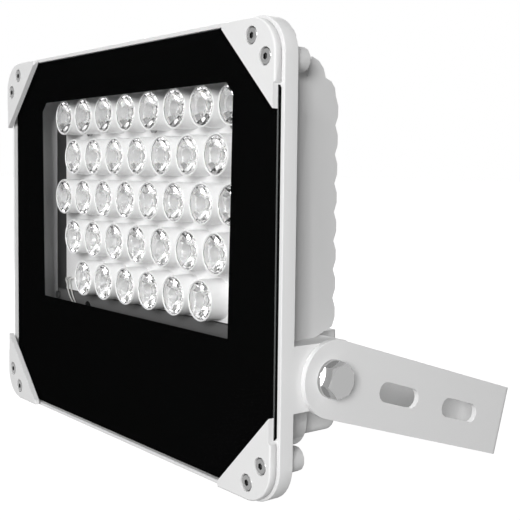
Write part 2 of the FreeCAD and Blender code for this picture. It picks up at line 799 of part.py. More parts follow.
def bracket():
    """Return the folded U-bracket, built level with the web's rear face at the origin, then tilted."""
    half = arm_width / 2
    outer_r = bend_inner_r + plate_thick
    front = -arm_reach + arm_end_offset
    outer = block((-arm_outer_x, arm_outer_x), (front - half - OVERRUN, 0), (-half, half))
    outer = round_edges(outer, outer_r, lambda e: lies_at_y(e, 0) and e.BoundBox.XLength < 1)
    inner = block((-arm_inner_x, arm_inner_x), (front - half - 2 * OVERRUN, -plate_thick), (-half, half))
    inner = round_edges(inner, bend_inner_r, lambda e: lies_at_y(e, -plate_thick) and e.BoundBox.XLength < 1)
    plate = outer.cut(inner)
    x = arm_outer_x + OVERRUN
    round_end = Part.Arc(vec(-x, front, half), vec(-x, front - half, 0), vec(-x, front, -half)).toShape()
    side = Part.Wire([round_end,
                      Part.makeLine(vec(-x, front, -half), vec(-x, OVERRUN, -half)),
                      Part.makeLine(vec(-x, OVERRUN, -half), vec(-x, OVERRUN, half)),
                      Part.makeLine(vec(-x, OVERRUN, half), vec(-x, front, half))])
    plate = plate.common(Part.Face(side).extrude(vec(2 * x, 0, 0)))
    cuts = [rod(bolt_r + running_fit, (-x, -arm_reach, 0), (x, -arm_reach, 0))]
    for distance in (slot_near, slot_far):
        cuts.append(slot_cutter(-arm_reach + distance, x))
    for place, radius in ((0, web_hole_r), (-side_hole_x, side_hole_r), (side_hole_x, side_hole_r)):
        cuts.append(rod(radius, (place, -plate_thick - OVERRUN, 0), (place, OVERRUN, 0)))
    plate = plate.cut(cuts).removeSplitter()
    plate.rotate(vec(0, 0, 0), vec(1, 0, 0), -arm_tilt)
    return plate


def slot_cutter(middle, x):
    """Return a round-ended bar that cuts the same slot through both arms."""
    r = slot_wide / 2
    run = slot_long / 2 - r
    turns = [math.pi * i / slot_end_steps for i in range(slot_end_steps + 1)]
    rear = [(middle + run + r * math.sin(turn), r * math.cos(turn)) for turn in turns]
    front = [(middle - run - r * math.sin(turn), -r * math.cos(turn)) for turn in turns]
    return prism_x(rear + front, -x, x)


def gland_body():
    """Return the cable gland's body: thread, hexagon flange and neck, bored through."""
    z = box_bottom_z
    x, y = gland_x, gland_y
    top = z + box_wall + gland_thread_in
    thread = many_rod(gland_sides, gland_thread_r, (x, y, z), (x, y, top))
    flange = hexagon_z(gland_flats, z - gland_flange, z, x, y)
    neck_low = z - gland_flange - gland_neck
    neck = many_rod(gland_sides, gland_neck_r, (x, y, neck_low), (x, y, z - gland_flange))
    low = (x, y, neck_low - OVERRUN)
    bore = many_rod(gland_sides, gland_seal_r + gland_gap, low, (x, y, top + OVERRUN))
    return thread.multiFuse([flange, neck]).cut(bore).removeSplitter()


def gland_nut():
    """Return the gland's cap nut, tapered at its mouth and hollow over the neck."""
    x, y = gland_x, gland_y
    top = box_bottom_z - gland_flange - gland_gap
    low = top - gland_nut_high
    nut = hexagon_z(gland_flats, low, top, x, y)
    mouth_edges = [e for e in nut.Edges if e.BoundBox.ZMax < low + 0.01]
    nut = nut.makeChamfer(gland_nut_chamfer, mouth_edges)
    inside = (x, y, top - gland_neck - gland_gap)
    hollow = many_rod(gland_sides, gland_neck_r + gland_gap, inside, (x, y, top + OVERRUN))
    mouth = many_rod(gland_sides, gland_seal_r + gland_gap, (x, y, low - OVERRUN), (x, y, top))
    return nut.cut([hollow, mouth]).removeSplitter()


def gland_seal():
    """Return the rubber insert that grips a cable."""
    x, y = gland_x, gland_y
    low = box_bottom_z - gland_flange - gland_nut_high + gland_seal_sunk
    high = box_bottom_z + box_wall
    seal = many_rod(gland_sides, gland_seal_r, (x, y, low), (x, y, high))
    return seal.cut(rod(gland_cable_r, (x, y, low - OVERRUN), (x, y, high + OVERRUN)))


def gland_locknut():
    """Return the hexagon nut that holds the gland from inside the box."""
    z = box_bottom_z + box_wall
    nut = hexagon_z(gland_locknut_flats, z, z + gland_locknut_high, gland_x, gland_y)
    top = (gland_x, gland_y, z + gland_locknut_high + OVERRUN)
    return nut.cut(many_rod(gland_sides, gland_thread_r + thread_fit, (gland_x, gland_y, z - OVERRUN), top))


def lamp_pieces():
    """Return every piece of the lamp head by name, in lamp coordinates."""
    pieces = {"housing": housing(), "glass_pane": glass_pane(), "print_border": print_border(),
              "sealing_gasket": sealing_gasket(), "clamp_screws": clamp_screws(), "led_board": led_board(),
              "led_chips": led_chips(), "lens_cups": lens_cups(), "lens_optics": lens_optics()}
    clamp = clamp_body()
    for name, sx, sz in corner_signs():
        pieces["clamp_" + name] = mirrored_corner(clamp, sx, sz)
    pieces["board_screws"] = group([small_screw(x, board_y, z) for x, z in board_screw_places()])
    cover_y = floor_y - cover_thick
    pieces["cover_screws"] = group([small_screw(x, cover_y, z) for x, z in cover_screw_places()])
    pieces["cover_sheet"] = cover_sheet()
    pieces["driver"] = driver()
    pieces["driver_screws"] = driver_screws()
    pieces["terminal_block"] = terminal_block()
    pieces["inner_leads"] = group(supply_leads() + [bent_lead(x) for x in led_lead_x])
    pieces["pivot_bolts"] = pivot_bolts()
    pieces["flat_washers"] = flat_washers()
    pieces["gland_body"] = gland_body()
    pieces["gland_nut"] = gland_nut()
    pieces["gland_seal"] = gland_seal()
    pieces["gland_locknut"] = gland_locknut()
    return pieces


def main():
    """Build every piece, check it and write it."""
    os.makedirs("parts", exist_ok=True)
    pieces = lamp_pieces()
    for shape in pieces.values():
        shape.translate(shift)
    pieces["mounting_bracket"] = bracket()
    for name, shape in pieces.items():
        box = shape.BoundBox
        print(f"{name:18s} solids {len(shape.Solids):3d} valid {shape.isValid()} "
              f"volume {shape.Volume / 1000:8.2f} cm3  X {box.XMin:.1f} {box.XMax:.1f} "
              f"Y {box.YMin:.1f} {box.YMax:.1f} Z {box.ZMin:.1f} {box.ZMax:.1f}")
        shape.exportStep("parts/" + name + ".step")
    print("pivot in the frame", vec(0, pivot_y, pivot_z) + shift)


main()
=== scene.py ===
import logging
import math
from dataclasses import dataclass, field
from enum import Enum
from functools import cache
from typing import Any, Callable, Sequence

import bmesh
import bpy
from mathutils import Matrix, Vector


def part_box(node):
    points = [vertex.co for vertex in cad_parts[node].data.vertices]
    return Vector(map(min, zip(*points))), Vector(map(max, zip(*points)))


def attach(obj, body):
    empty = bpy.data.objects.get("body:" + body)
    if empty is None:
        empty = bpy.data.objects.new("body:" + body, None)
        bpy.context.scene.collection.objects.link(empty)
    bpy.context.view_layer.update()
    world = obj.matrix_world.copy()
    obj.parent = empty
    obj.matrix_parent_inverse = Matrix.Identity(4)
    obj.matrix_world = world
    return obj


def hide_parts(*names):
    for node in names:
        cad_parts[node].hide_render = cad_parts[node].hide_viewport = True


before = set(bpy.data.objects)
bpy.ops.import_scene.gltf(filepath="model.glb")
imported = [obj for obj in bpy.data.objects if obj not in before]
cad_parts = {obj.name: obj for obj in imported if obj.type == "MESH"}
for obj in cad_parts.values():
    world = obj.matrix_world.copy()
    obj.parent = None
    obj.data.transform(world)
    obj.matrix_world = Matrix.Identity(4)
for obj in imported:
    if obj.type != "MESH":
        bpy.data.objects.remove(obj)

LOG = logging.getLogger("floodlight")
MM = 0.001
HEAD = "lamp_head"
BRACKET = "bracket"
TINY = 1e-6
WEIGHT_BY_AREA = 100
FLAT_DEGREES = 0.5

# The two noises of every plain finish, how dark its darker spots are and a powder coat's grain
BROAD_SCALE = 14.0
BROAD_DETAIL = 3.0
FINE_DETAIL = 2.0
MEAN_NOISE = 0.5
DARKER = 0.6
COAT_GRAIN = 0.000012

Colour = tuple[float, float, float]
Point = tuple[float, float, float]
Profile = tuple[tuple[float, float], ...]


def grey(level: float) -> Colour:
    """Return a colour without a tint."""
    return (level, level, level)


class Value:
    """A number socket that turns Python arithmetic into Math nodes."""

    def __init__(self, tree: "Tree", socket: bpy.types.NodeSocket) -> None:
        """Wrap one output socket of a tree."""
        self.tree = tree
        self.socket = socket

    def _math(self, operation: str, a: Any, b: Any = 0.0) -> "Value":
        """Add one Math node.

        Args:
            operation: The node's operation.
            a: The first value or number.
            b: The second value or number.

        Returns:
            The node's output.
        """
        node = self.tree.add("Math", {"operation": operation}, {0: a, 1: b})
        return Value(self.tree, node.outputs[0])

    def __add__(self, other: Any) -> "Value":
        """Return self plus other."""
        return self._math("ADD", self, other)

    def __radd__(self, other: Any) -> "Value":
        """Return other plus self."""
        return self._math("ADD", other, self)

    def __sub__(self, other: Any) -> "Value":
        """Return self less other."""
        return self._math("SUBTRACT", self, other)

    def __rsub__(self, other: Any) -> "Value":
        """Return other less self."""
        return self._math("SUBTRACT", other, self)

    def __mul__(self, other: Any) -> "Value":
        """Return self times other."""
        return self._math("MULTIPLY", self, other)

    def __rmul__(self, other: Any) -> "Value":
        """Return other times self."""
        return self._math("MULTIPLY", other, self)

    def above(self, other: Any) -> "Value":
        """Return 1 where self is greater than other."""
        return self._math("GREATER_THAN", self, other)

    def larger(self, other: Any) -> "Value":
        """Return the greater of self and other."""
        return self._math("MAXIMUM", self, other)

    def size(self) -> "Value":
        """Return self without its sign."""
        return self._math("ABSOLUTE", self)


class Tree:
    """A node tree, of a material or of Geometry Nodes, that nodes are added to in one way."""

    def __init__(self, tree: bpy.types.NodeTree, family: str = "ShaderNode") -> None:
        """Wrap a tree whose node types start with a family name."""
        self.tree = tree
        self.family = family

    def add(self, kind: str, settings: dict[str, Any] | None = None,
            sockets: dict[Any, Any] | None = None) -> bpy.types.Node:
        """Add a node.

        Args:
            kind: The node's type, without its family name.
            settings: Properties of the node, set before its sockets.
            sockets: Inputs by name or index, each a number, colour, socket or Value.

        Returns:
            The new node.
        """
        whole = kind.startswith(("Node", "Shader", "Geometry", "Function"))
        node = self.tree.nodes.new(kind if whole else self.family + kind)
        for name, value in (settings or {}).items():
            setattr(node, name, value)
        for name, value in (sockets or {}).items():
            self.feed(node.inputs[name], value)
        return node

    def feed(self, socket: bpy.types.NodeSocket, value: Any) -> None:
        """Link a socket or Value to an input, or set it to a constant."""
        if isinstance(value, Value):
            value = value.socket
        if isinstance(value, bpy.types.NodeSocket):
            self.tree.links.new(value, socket)
        elif isinstance(value, tuple) and len(value) == 3 and len(socket.default_value) == 4:
            socket.default_value = (*value, 1.0)
        else:
            socket.default_value = value

    def value(self, node: bpy.types.Node, output: str) -> Value:
        """Return one of a node's outputs as a Value."""
        return Value(self, node.outputs[output])

    def noise(self, place: bpy.types.NodeSocket, scale: float, detail: float) -> Value:
        """Return noise over a place's coordinates."""
        sockets = {"Vector": place, "Scale": scale, "Detail": detail}
        return self.value(self.add("TexNoise", {}, sockets), "Fac")


def emptied(owner: bpy.types.Material | bpy.types.World) -> Tree:
    """Return the emptied tree of a material or a world."""
    owner.use_nodes = True
    owner.node_tree.nodes.clear()
    return Tree(owner.node_tree)


@dataclass(frozen=True)
class Finish:
    """A plain finish: one colour, one gloss and a fine grain.

    Args:
        name: The material's name.
        colour: Base colour.
        roughness: Mean roughness.
        metallic: 1 for bare metal.
        grain: Size of the grain, in metres.
        grain_depth: Bump distance of the grain, in metres.
        unevenness: How much the roughness wanders.
        shade: How much the base colour wanders.
        specular: Specular level of a non-metal.
    """

    name: str
    colour: Colour
    roughness: float
    metallic: float = 0.0
    grain: float = 0.0006
    grain_depth: float = 0.00002
    unevenness: float = 0.05
    shade: float = 0.02
    specular: float = 0.5

    @cache
    def material(self) -> bpy.types.Material:
        """Build the material once."""
        made = bpy.data.materials.new(self.name)
        tree = emptied(made)
        shader = tree.add("BsdfPrincipled", {}, {"Metallic": self.metallic,
                                                 "Specular IOR Level": self.specular})
        self.dress(tree, shader, tree.add("TexCoord").outputs["Object"])
        tree.add("OutputMaterial", {}, {"Surface": shader.outputs[0]})
        return made

    def dress(self, tree: Tree, shader: bpy.types.Node, place: bpy.types.NodeSocket) -> None:
        """Feed the colour, roughness and normal from two scales of noise."""
        broad = tree.noise(place, BROAD_SCALE, BROAD_DETAIL)
        fine = tree.noise(place, 1.0 / self.grain, FINE_DETAIL)
        dark = tuple(DARKER * c for c in self.colour)
        tone = tree.add("Mix", {"data_type": "RGBA"},
                        {"Factor": broad * (self.shade / MEAN_NOISE), "A": self.colour, "B": dark})
        tree.feed(shader.inputs["Base Color"], tone.outputs[2])
        tree.feed(shader.inputs["Roughness"], self.roughness + (broad - MEAN_NOISE) * self.unevenness)
        bump = tree.add("Bump", {}, {"Height": fine, "Distance": self.grain_depth, "Strength": 1.0})
        tree.feed(shader.inputs["Normal"], bump.outputs[0])


@dataclass(frozen=True)
class ClearFinish:
    """A clear finish that refracts, for solid mouldings."""

    name: str
    colour: Colour = grey(1.0)
    roughness: float = 0.02
    ior: float = 1.49

    @cache
    def material(self) -> bpy.types.Material:
        """Build the material once."""
        made = bpy.data.materials.new(self.name)
        tree = emptied(made)
        shader = tree.add("BsdfPrincipled", {}, {"Base Color": self.colour, "Roughness": self.roughness,
                                                 "IOR": self.ior, "Transmission Weight": 1.0})
        tree.add("OutputMaterial", {}, {"Surface": shader.outputs[0]})
        return made


@dataclass(frozen=True)
class PaneFinish:
    """Flat clear glass seen through, with an arris that catches the light.

    Args:
        name: The material's name.
        clear: How much of the flat faces shows.
        arris: How much more of the arris shows.
        arris_from: The least share of Y in the normal of a face that is the arris.
        arris_to: The share of Y past which a face is one of the flat ones.
        colour: Base colour.
        roughness: Roughness.
        specular: Specular level.
    """

    name: str
    clear: float = 0.004
    arris: float = 0.22
    arris_from: float = 0.4
    arris_to: float = 0.95
    colour: Colour = (0.40, 0.42, 0.42)
    roughness: float = 0.25
    specular: float = 0.1

    @cache
    def material(self) -> bpy.types.Material:
        """Build the material once."""
        made = bpy.data.materials.new(self.name)
        tree = emptied(made)
        parts = tree.add("SeparateXYZ", {}, {"Vector": tree.add("TexCoord").outputs["Normal"]})
        facing = tree.value(parts, "Y").size()
        edge = facing.above(self.arris_from) * (1.0 - facing.above(self.arris_to))
        shader = tree.add("BsdfPrincipled", {}, {"Base Color": self.colour, "Roughness": self.roughness,
                                                 "Specular IOR Level": self.specular,
                                                 "Alpha": edge * self.arris + self.clear})
        tree.add("OutputMaterial", {}, {"Surface": shader.outputs[0]})
        return made


class Look(Enum):
    """Every finish of the lamp."""

    WHITE_PAINT = Finish("white_powder_coat", grey(0.81), 0.62, grain_depth=COAT_GRAIN, specular=0.2)
    CLAMP_PAINT = Finish("clamp_powder_coat", grey(0.83), 0.58, grain_depth=COAT_GRAIN, specular=0.2)
    # Painted shade: the tub's outside, behind the rim, is a darker grey than the rest of the casting
    SHADED_TUB_COAT = Finish("tub_painted_shade", grey(0.65), 0.65, grain_depth=COAT_GRAIN, specular=0.2)
    INNER_WALL = Finish("inner_wall", grey(0.80), 0.6)
    # Painted shade: the tub's floor behind the board is near black for the shade there
    FLOOR_PAINTED_SHADE = Finish("floor_painted_shade", grey(0.04), 0.6)
    GLASS = PaneFinish("toughened_glass")
    BLACK_PRINT = Finish("black_screen_print", grey(0.001), 0.6, specular=0.0, shade=0.0)
    RUBBER = Finish("black_rubber", grey(0.012), 0.7, specular=0.2)
    STEEL = Finish("bright_steel", grey(0.44), 0.10, 1.0, 0.0012, 0.000004)
    SCREW_STEEL = Finish("dull_screw_steel", grey(0.33), 0.14, 1.0, 0.0012, 0.000004)
    # Painted shade: the screws' sockets are near black for the shade inside them
    PAINTED_SOCKET_SHADE = Finish("socket_painted_shade", grey(0.05), 0.7, specular=0.1)
    BOARD = Finish("white_solder_mask", grey(0.93), 0.4)
    CUP = Finish("white_cup_plastic", grey(0.95), 0.35, grain_depth=0.000004)
    LENS = ClearFinish("moulded_clear_lens")
    CHIP = Finish("light_source", (0.72, 0.66, 0.40), 0.3)
    SHEET = Finish("dark_cover_sheet", grey(0.13), 0.6)
    DRIVER = Finish("driver_case", (0.45, 0.46, 0.47), 0.4, metallic=0.7)
    TERMINAL = Finish("terminal_plastic", (0.70, 0.70, 0.66), 0.45)
    LEAD = Finish("lead_jacket", (0.55, 0.55, 0.53), 0.4)
    NYLON = Finish("grey_nylon", grey(0.40), 0.45)


@dataclass(frozen=True)
class LampPlace:
    """Turns lamp millimetres into frame metres.

    In the lamp, X is to the right, Y goes in from the glass and Z is up, from the glass's centre.
    """

    front_y: float
    middle_z: float

    @classmethod
    def from_frame(cls) -> "LampPlace":
        """Find the glass's front centre in the frame."""
        low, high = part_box("glass_pane")
        return cls(low.y, (low.z + high.z) / 2)

    def __call__(self, x: float, y: float, z: float) -> Vector:
        """Return the frame point of a lamp point."""
        return Vector((x * MM, self.front_y + y * MM, self.middle_z + z * MM))


def new_object(name: str, mesh: bpy.types.Mesh) -> bpy.types.Object:
    """Link a mesh to the scene as an object."""
    made = bpy.data.objects.new(name, mesh)
    bpy.context.scene.collection.objects.link(made)
    return made


def tidy_mesh(mesh: bpy.types.Mesh, work: Callable[[bmesh.types.BMesh], None] | None = None) -> None:
    """Merge a mesh's doubles, turn its faces outwards and run extra work on it.

    Args:
        mesh: The mesh to tidy.
        work: A function that changes the open mesh before its normals are recalculated.
    """
    opened = bmesh.new()
    opened.from_mesh(mesh)
    bmesh.ops.remove_doubles(opened, verts=opened.verts, dist=TINY)
    if work:
        work(opened)
    bmesh.ops.recalc_face_normals(opened, faces=opened.faces)
    opened.to_mesh(mesh)
    opened.free()


def cut_across(opened: bmesh.types.BMesh, point: Point, normal: Point) -> None:
    """Cut a whole open mesh along a plane and keep both sides."""
    everything = [*opened.verts, *opened.edges, *opened.faces]
    bmesh.ops.bisect_plane(opened, geom=everything, plane_co=point, plane_no=normal)


def set_faces(made: bpy.types.Object, name: str, value: int) -> None:
    """Give one property of every face the same value."""
    made.data.polygons.foreach_set(name, [value] * len(made.data.polygons))


def smooth_by_angle(made: bpy.types.Object, degrees: float) -> None:
    """Shade an object smooth, with sharp edges past an angle."""
    set_faces(made, "use_smooth", True)
    made.data.set_sharp_from_angle(angle=math.radians(degrees))


def bake_modifiers(made: bpy.types.Object) -> None:
    """Turn an object's evaluated result into its plain mesh and drop its modifiers."""
    graph = bpy.context.evaluated_depsgraph_get()
    mesh = bpy.data.meshes.new_from_object(made.evaluated_get(graph), preserve_all_data_layers=True,
                                           depsgraph=graph)
    made.modifiers.clear()
    made.data = mesh


def paint(made: bpy.types.Object, look: Look) -> None:
    """Give an object one finish and no other."""
    made.data.materials.clear()
    made.data.materials.append(look.value.material())


def finish_piece(made: bpy.types.Object, look: Look | None, body: str, node: str) -> None:
    """Give a piece its finish and body, and hide the CAD node it stands for.

    Args:
        made: The piece.
        look: Its finish, or None to keep the finishes that it has.
        body: The CAD body that it moves with.
        node: The CAD node that it stands for.
    """
    if look is not None:
        paint(made, look)
    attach(made, body)
    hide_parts(node)
    LOG.info("piece %s on %s: %d faces", made.name, body, len(made.data.polygons))


def dress_node(node: str, look: Look) -> None:
    """Give a shown CAD node its finish."""
    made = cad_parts[node]
    paint(made, look)
    LOG.info("node %s dressed as %s", node, look.name)


def bevelled_copy(node: str, name: str, width: float, segments: int = 2, sharp: float = 33.0,
                  shape: Callable[[bmesh.types.BMesh], None] | None = None) -> bpy.types.Object:
    """Copy a CAD node as one merged mesh with softly bevelled edges.

    Args:
        node: The CAD node's name.
        name: The new piece's name.
        width: Bevel width in millimetres.
        segments: Bevel segments.
        sharp: The angle in degrees past which an edge is bevelled.
        shape: A function that changes the merged mesh before its edges are bevelled.

    Returns:
        The new object.
    """
    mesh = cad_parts[node].data.copy()
    mesh.name = name

    def join_flats(opened: bmesh.types.BMesh) -> None:
        """Change the shape where asked and dissolve the triangulation of flat faces."""
        if shape:
            shape(opened)
            opened.normal_update()
        bmesh.ops.dissolve_limit(opened, angle_limit=math.radians(FLAT_DEGREES), verts=opened.verts,
                                 edges=opened.edges)

    tidy_mesh(mesh, join_flats)
    made = new_object(name, mesh)
    bevel = made.modifiers.new("soft_edges", "BEVEL")
    bevel.width = width * MM
    bevel.segments = segments
    bevel.limit_method = "ANGLE"
    bevel.angle_limit = math.radians(sharp)
    bevel.use_clamp_overlap = True
    even = made.modifiers.new("even_faces", "WEIGHTED_NORMAL")
    even.keep_sharp = True
    even.weight = WEIGHT_BY_AREA
    set_faces(made, "use_smooth", True)
    bake_modifiers(made)
    return made


@dataclass(frozen=True)
class Ring:
    """One ring of a turned shape, in millimetres.

    Args:
        radius: The ring's radius, or half its width across flats.
        depth: Its distance behind the front.
        six_sided: True for a hexagon.
        slope: Depth gained for each millimetre that a corner stands beyond the flats.
    """

    radius: float
    depth: float
    six_sided: bool = False
    slope: float = 0.0

    def at(self, angle: float, corner: float = 0.0) -> tuple[float, float]:
        """Return the radius and depth at an angle round the axis.

        Args:
            angle: The angle in radians.
            corner: The angle of the hexagon's first corner.

        Returns:
            The radius and the depth in millimetres.
        """
        if not self.six_sided:
            return self.radius, self.depth
        reach = self.radius / math.cos((angle - corner) % (math.pi / 3) - math.pi / 6)
        return reach, self.depth + self.slope * (reach - self.radius)


def rings(*pairs: tuple[float, float]) -> list[Ring]:
    """Return round rings from (radius, depth) pairs."""
    return [Ring(*pair) for pair in pairs]


def turned(name: str, profile: Sequence[Ring], sides: int, closed: bool = False,
           start: float = 0.0) -> bpy.types.Object:
    """Turn a profile about the Y axis, its front at the origin.

    Args:
        name: The object's name.
        profile: Rings from the front to the rear.
        sides: Facets round the axis.
        closed: True where the last ring joins the first, as on a tube.
        start: The angle in radians of the first point and of a hexagon's first corner.

    Returns:
        The new object.
    """
    points: list[Point] = []
    loops: list[list[int]] = []
    for ring in profile:
        spots = 1 if ring.radius < TINY else sides
        loops.append(list(range(len(points), len(points) + spots)))
        for i in range(spots):
            angle = start + 2 * math.pi * i / sides
            radius, depth = ring.at(angle, start)
            points.append((radius * MM * math.sin(angle), depth * MM, radius * MM * math.cos(angle)))
    faces = []
    for a, b in zip(loops, loops[1:] + loops[:1] if closed else loops[1:]):
        for i in range(sides):
            j = (i + 1) % sides
            corners = (a[i % len(a)], a[j % len(a)], b[j % len(b)], b[i % len(b)])
            faces.append(tuple(dict.fromkeys(corners)))
    mesh = bpy.data.meshes.new(name)
    mesh.from_pydata(points, [], faces)
    tidy_mesh(mesh)
    return new_object(name, mesh)


@dataclass
class Pattern:
    """Places copies of one shape on points with Geometry Nodes.

    Args:
        name: The finished piece's name.
        shape: The object to repeat; it is removed afterwards.
        places: The frame points of the copies.
        look: The copies' finish.
        turns: Each copy's turn about Z, in radians; none where empty.
        largest_turn: Greatest random turn about Y, in radians.
        seed: The fixed seed of the random turns.
    """

    name: str
    shape: bpy.types.Object
    places: Sequence[Vector]
    look: Look
    turns: Sequence[float] = ()
    largest_turn: float = 0.0
    seed: int = 7

    def tree(self) -> bpy.types.NodeTree:
        """Build the tree: instances on points, realized, with the material set."""
        group = bpy.data.node_groups.new(self.name + "_pattern", "GeometryNodeTree")
        for name, way, kind in (("Geometry", "INPUT", "Geometry"), ("Largest Turn", "INPUT", "Float"),
                                ("Seed", "INPUT", "Int"), ("Geometry", "OUTPUT", "Geometry")):
            group.interface.new_socket(name, in_out=way, socket_type="NodeSocket" + kind)
        tree = Tree(group, "GeometryNode")
        given = tree.add("NodeGroupInput")
        shape = tree.add("ObjectInfo", {}, {"Object": self.shape})
        chance = tree.add("FunctionNodeRandomValue", {"data_type": "FLOAT"},
                          {2: 0.0, 3: given.outputs["Largest Turn"], "Seed": given.outputs["Seed"]})
        facing = tree.add("InputNamedAttribute", {"data_type": "FLOAT"}, {"Name": "facing"})
        turn = tree.add("ShaderNodeCombineXYZ", {}, {"Y": chance.outputs[1], "Z": facing.outputs[0]})
        placed = tree.add("InstanceOnPoints", {}, {"Points": given.outputs["Geometry"],
                                                   "Instance": shape.outputs["Geometry"],
                                                   "Rotation": turn.outputs[0]})
        real = tree.add("RealizeInstances", {}, {"Geometry": placed.outputs[0]})
        dressed = tree.add("SetMaterial", {}, {"Geometry": real.outputs[0],
                                               "Material": self.look.value.material()})
        tree.add("NodeGroupOutput", {}, {"Geometry": dressed.outputs[0]})
        return group

    def build(self, sharp: float = 35.0) -> bpy.types.Object:
        """Make the finished mesh and remove the shape that it repeats.

        Args:
            sharp: The angle in degrees past which an edge stays sharp; 0 leaves every facet flat.

        Returns:
            The finished object.
        """
        mesh = bpy.data.meshes.new(self.name)
        mesh.from_pydata([tuple(p) for p in self.places], [], [])
        facing = mesh.attributes.new("facing", "FLOAT", "POINT")
        facing.data.foreach_set("value", list(self.turns) or [0.0] * len(self.places))
        made = new_object(self.name, mesh)
        group = self.tree()
        modifier = made.modifiers.new("pattern", "NODES")
        modifier.node_group = group
        keys = {s.name: s.identifier for s in group.interface.items_tree if s.in_out == "INPUT"}
        modifier[keys["Largest Turn"]] = float(self.largest_turn)
        modifier[keys["Seed"]] = int(self.seed)
        bake_modifiers(made)
        paint(made, self.look)
        set_faces(made, "material_index", 0)
        if sharp:
            smooth_by_angle(made, sharp)
        else:
            set_faces(made, "use_smooth", False)
        bpy.data.objects.remove(self.shape)
        return made


@dataclass
class LensArray:
    """The board, its light sources, the white cups and the clear lenses.

    Profiles are (radius, depth) pairs, but the dome's radii are shares of its source's.
    """

    place: LampPlace
    row_counts: tuple[int, ...] = (8, 7, 8, 7, 6)
    pitch_x: float = 27.7
    pitch_z: float = 27.45
    top_z: float = 82.0

    cup_r: float = 12.0
    cup_wall: float = 0.9
    cup_front: float = 13.0
    cup_lip: Profile = ((0.0, 0.25), (0.15, 0.05), (0.35, 0.0))
    cup_sides: int = 48

    lens_gap: float = 0.25
    lens_front: float = 13.2
    lens_hollow: Profile = ((0.0, 5.2), (1.6, 4.8), (3.0, 3.6), (3.9, 2.2), (4.3, 0.4), (4.7, 0.0))
    lens_edge: float = 0.2
    lens_flange: float = 1.2
    lens_cone: Profile = ((9.6, 2.8), (8.0, 5.8), (6.2, 9.0), (4.4, 11.2))
    source_hollow: Profile = ((3.4, 11.3), (2.9, 8.4), (0.0, 7.8))
    lens_sides: int = 12

    source_r: float = 1.7
    source_dome: Profile = ((0.0, 0.0), (0.5, 0.08), (0.8, 0.25), (1.0, 0.6))
    source_step: float = 0.1
    source_sides: int = 20

    board_extra: float = 7.0
    board_edge: float = 0.15

    def centres(self, depth: float) -> list[Vector]:
        """Return every lens's centre at one depth."""
        found = []
        for row, count in enumerate(self.row_counts):
            for column in range(count):
                x = (column - (count - 1) / 2) * self.pitch_x
                found.append(self.place(x, depth, self.top_z - row * self.pitch_z))
        return found

    def cups(self) -> None:
        """Make the cups, each a tube with a rounded rim."""
        rear = (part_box("lens_cups")[1].y - self.place.front_y) / MM - self.cup_front
        outer, inner = self.cup_r, self.cup_r - self.cup_wall
        deep, low = self.cup_lip[:2]
        tube = rings((inner, rear), *((inner + across, depth) for across, depth in self.cup_lip),
                     (outer - low[0], low[1]), (outer - deep[0], deep[1]), (outer, rear))
        shape = turned("cup_shape", tube, self.cup_sides, True)
        made = Pattern("lens_cups_smooth", shape, self.centres(self.cup_front), Look.CUP).build()
        finish_piece(made, None, HEAD, "lens_cups")

    def lenses(self) -> None:
        """Make the lenses: flat-faceted cones with a hollow in the front and one over the source."""
        r = self.cup_r - self.cup_wall - self.lens_gap
        flange = ((r - self.lens_edge, 0.0), (r, self.lens_edge), (r, self.lens_flange))
        profile = rings(*self.lens_hollow, *flange, *self.lens_cone, *self.source_hollow)
        shape = turned("lens_shape", profile, self.lens_sides)
        made = Pattern("lens_optics_clear", shape, self.centres(self.lens_front), Look.LENS).build(0.0)
        finish_piece(made, None, HEAD, "lens_optics")

    def widen_board(self, opened: bmesh.types.BMesh) -> None:
        """Move the board's two ends outwards."""
        end_x = max(abs(v.co.x) for v in opened.verts)
        for vert in opened.verts:
            if abs(vert.co.x) > end_x - MM:
                vert.co.x += math.copysign(self.board_extra * MM, vert.co.x)

    def sources(self) -> None:
        """Make the light sources, each a low dome on a round base."""
        low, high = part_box("led_chips")
        rear = (high.y - low.y) / MM
        dome = [(share * self.source_r, depth) for share, depth in self.source_dome]
        base_r = self.source_r + self.source_step
        profile = rings(*dome, (base_r, dome[-1][1]), (base_r, rear), (0.0, rear))
        shape = turned("source_shape", profile, self.source_sides)
        front = (low.y - self.place.front_y) / MM
        made = Pattern("light_sources", shape, self.centres(front), Look.CHIP).build()
        finish_piece(made, None, HEAD, "led_chips")

    def build(self) -> None:
        """Build and dress everything on the board."""
        board = bevelled_copy("led_board", "led_board_white", self.board_edge, 1, shape=self.widen_board)
        finish_piece(board, Look.BOARD, HEAD, "led_board")
        self.cups()
        self.lenses()
        self.sources()


